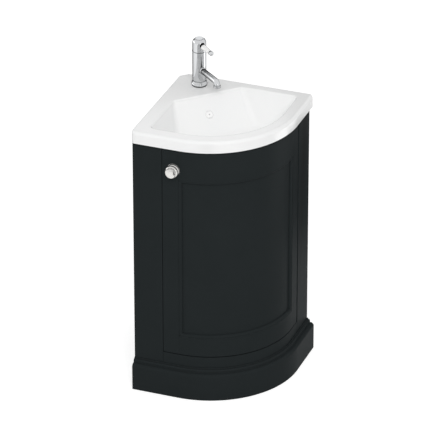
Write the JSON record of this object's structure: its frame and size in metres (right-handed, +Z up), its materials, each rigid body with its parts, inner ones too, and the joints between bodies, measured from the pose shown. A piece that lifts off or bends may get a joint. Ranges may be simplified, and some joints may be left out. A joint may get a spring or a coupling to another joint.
{
  "type": "corner vanity unit",
  "caption": "Quarter-round corner vanity unit with a curved framed door, moulded plinth, white ceramic corner basin with overflow and a chrome lever mixer tap",
  "frame": {"origin": "centre of the bounding box in plan, on the floor under the plinth", "axes": "+Z up; +Y towards the back wall, -X towards the left wall; the curved front faces +X and -Y"},
  "size_m": [0.43, 0.438, 1.025],
  "materials": {
    "left_panel": "charcoal faced board",
    "back_panel": "charcoal faced board",
    "corner_post": "charcoal faced board",
    "floor_panel": "charcoal faced board",
    "left_face_stile": "satin charcoal paint on board",
    "right_face_stile": "satin charcoal paint on board",
    "bottom_rail": "satin charcoal paint on board",
    "top_rail": "charcoal faced board",
    "plinth": "satin charcoal paint on board",
    "carcass_screws": "zinc-plated steel",
    "basin": "white glaze",
    "overflow_ring": "polished chrome",
    "waste_body": "polished chrome",
    "waste_guide": "grey moulded plastic",
    "waste_gasket": "black rubber",
    "waste_nut": "turned brass",
    "plug_cap": "polished chrome",
    "plug_seal": "black rubber",
    "plug_stem": "turned brass",
    "tap_gasket": "black rubber",
    "tap_base": "polished chrome",
    "tap_column": "polished chrome",
    "seam_ring": "polished chrome",
    "cartridge": "grey moulded plastic",
    "spout": "polished chrome",
    "aerator_ring": "polished chrome",
    "aerator_screen": "grey moulded plastic",
    "tap_stud": "turned brass",
    "clamp_gasket": "black rubber",
    "clamp_plate": "zinc-plated steel",
    "stud_nut": "turned brass",
    "tap_head": "polished chrome",
    "head_cap": "polished chrome",
    "spindle": "zinc-plated steel",
    "lever_pin": "zinc-plated steel",
    "lever_hub": "polished chrome",
    "porcelain_lever": "white porcelain",
    "lever_finial": "polished chrome",
    "door_left_stile": "satin charcoal paint on board",
    "door_right_stile": "satin charcoal paint on board",
    "door_top_rail": "satin charcoal paint on board",
    "door_bottom_rail": "satin charcoal paint on board",
    "door_panel": "satin charcoal paint on board",
    "panel_bead": "satin charcoal paint on board",
    "top_bush": "turned brass",
    "bottom_bush": "turned brass",
    "door_bumpers": "black rubber",
    "knob": "polished chrome",
    "knob_rose": "polished chrome",
    "knob_screw": "zinc-plated steel",
    "strike_plate": "zinc-plated steel",
    "top_pivot_plate": "zinc-plated steel",
    "top_pivot_pin": "zinc-plated steel",
    "bottom_pivot_pin": "zinc-plated steel",
    "pivot_plate_screws": "zinc-plated steel",
    "catch_body": "grey moulded plastic",
    "catch_magnet": "zinc-plated steel",
    "catch_screws": "zinc-plated steel"
  },
  "bodies": {
    "cabinet": {"left_panel": "left_panel", "back_panel": "back_panel", "corner_post": "corner_post", "floor_panel": "floor_panel", "left_face_stile": "left_face_stile", "right_face_stile": "right_face_stile", "bottom_rail": "bottom_rail", "top_rail": "top_rail", "plinth": "plinth", "carcass_screws": "carcass_screws", "basin": "basin", "overflow_ring": "overflow_ring", "waste_body": "waste_body", "waste_guide": "waste_guide", "waste_gasket": "waste_gasket", "waste_nut": "waste_nut", "tap_gasket": "tap_gasket", "tap_base": "tap_base", "tap_column": "tap_column", "seam_ring": "seam_ring", "cartridge": "cartridge", "spout": "spout", "aerator_ring": "aerator_ring", "aerator_screen": "aerator_screen", "tap_stud": "tap_stud", "clamp_gasket": "clamp_gasket", "clamp_plate": "clamp_plate", "stud_nut": "stud_nut", "top_pivot_plate": "top_pivot_plate", "top_pivot_pin": "top_pivot_pin", "bottom_pivot_pin": "bottom_pivot_pin", "pivot_plate_screws": "pivot_plate_screws", "catch_body": "catch_body", "catch_magnet": "catch_magnet", "catch_screws": "catch_screws"},
    "door": {"door_left_stile": "door_left_stile", "door_right_stile": "door_right_stile", "door_top_rail": "door_top_rail", "door_bottom_rail": "door_bottom_rail", "door_panel": "door_panel", "panel_bead": "panel_bead", "top_bush": "top_bush", "bottom_bush": "bottom_bush", "door_bumpers": "door_bumpers", "knob": "knob", "knob_rose": "knob_rose", "knob_screw": "knob_screw", "strike_plate": "strike_plate"},
    "plug": {"plug_cap": "plug_cap", "plug_seal": "plug_seal", "plug_stem": "plug_stem"},
    "head": {"tap_head": "tap_head", "head_cap": "head_cap", "spindle": "spindle", "lever_pin": "lever_pin"},
    "lever": {"lever_hub": "lever_hub", "porcelain_lever": "porcelain_lever", "lever_finial": "lever_finial"}
  },
  "joints": [
    {"name": "door_pivot", "type": "hinge", "parent": "cabinet", "child": "door", "pos_m": [0.185, 0.1175, 0.48], "axis": [0, 0, 1], "range_deg": [0, 95]},
    {"name": "click_plug", "type": "slide", "parent": "cabinet", "child": "plug", "axis": [0, 0, 1], "range_m": [-0.006, 0], "stiffness_N_per_m": 300, "springref_m": 0.01},
    {"name": "head_turn", "type": "hinge", "parent": "cabinet", "child": "head", "pos_m": [-0.1367, 0.1594, 1.004], "axis": [0, 0, 1], "range_deg": [-45, 45]},
    {"name": "lever_lift", "type": "hinge", "parent": "head", "child": "lever", "pos_m": [-0.1367, 0.1594, 1.004], "axis": [-0.6428, -0.766, 0], "range_deg": [0, 20]}
  ]
}
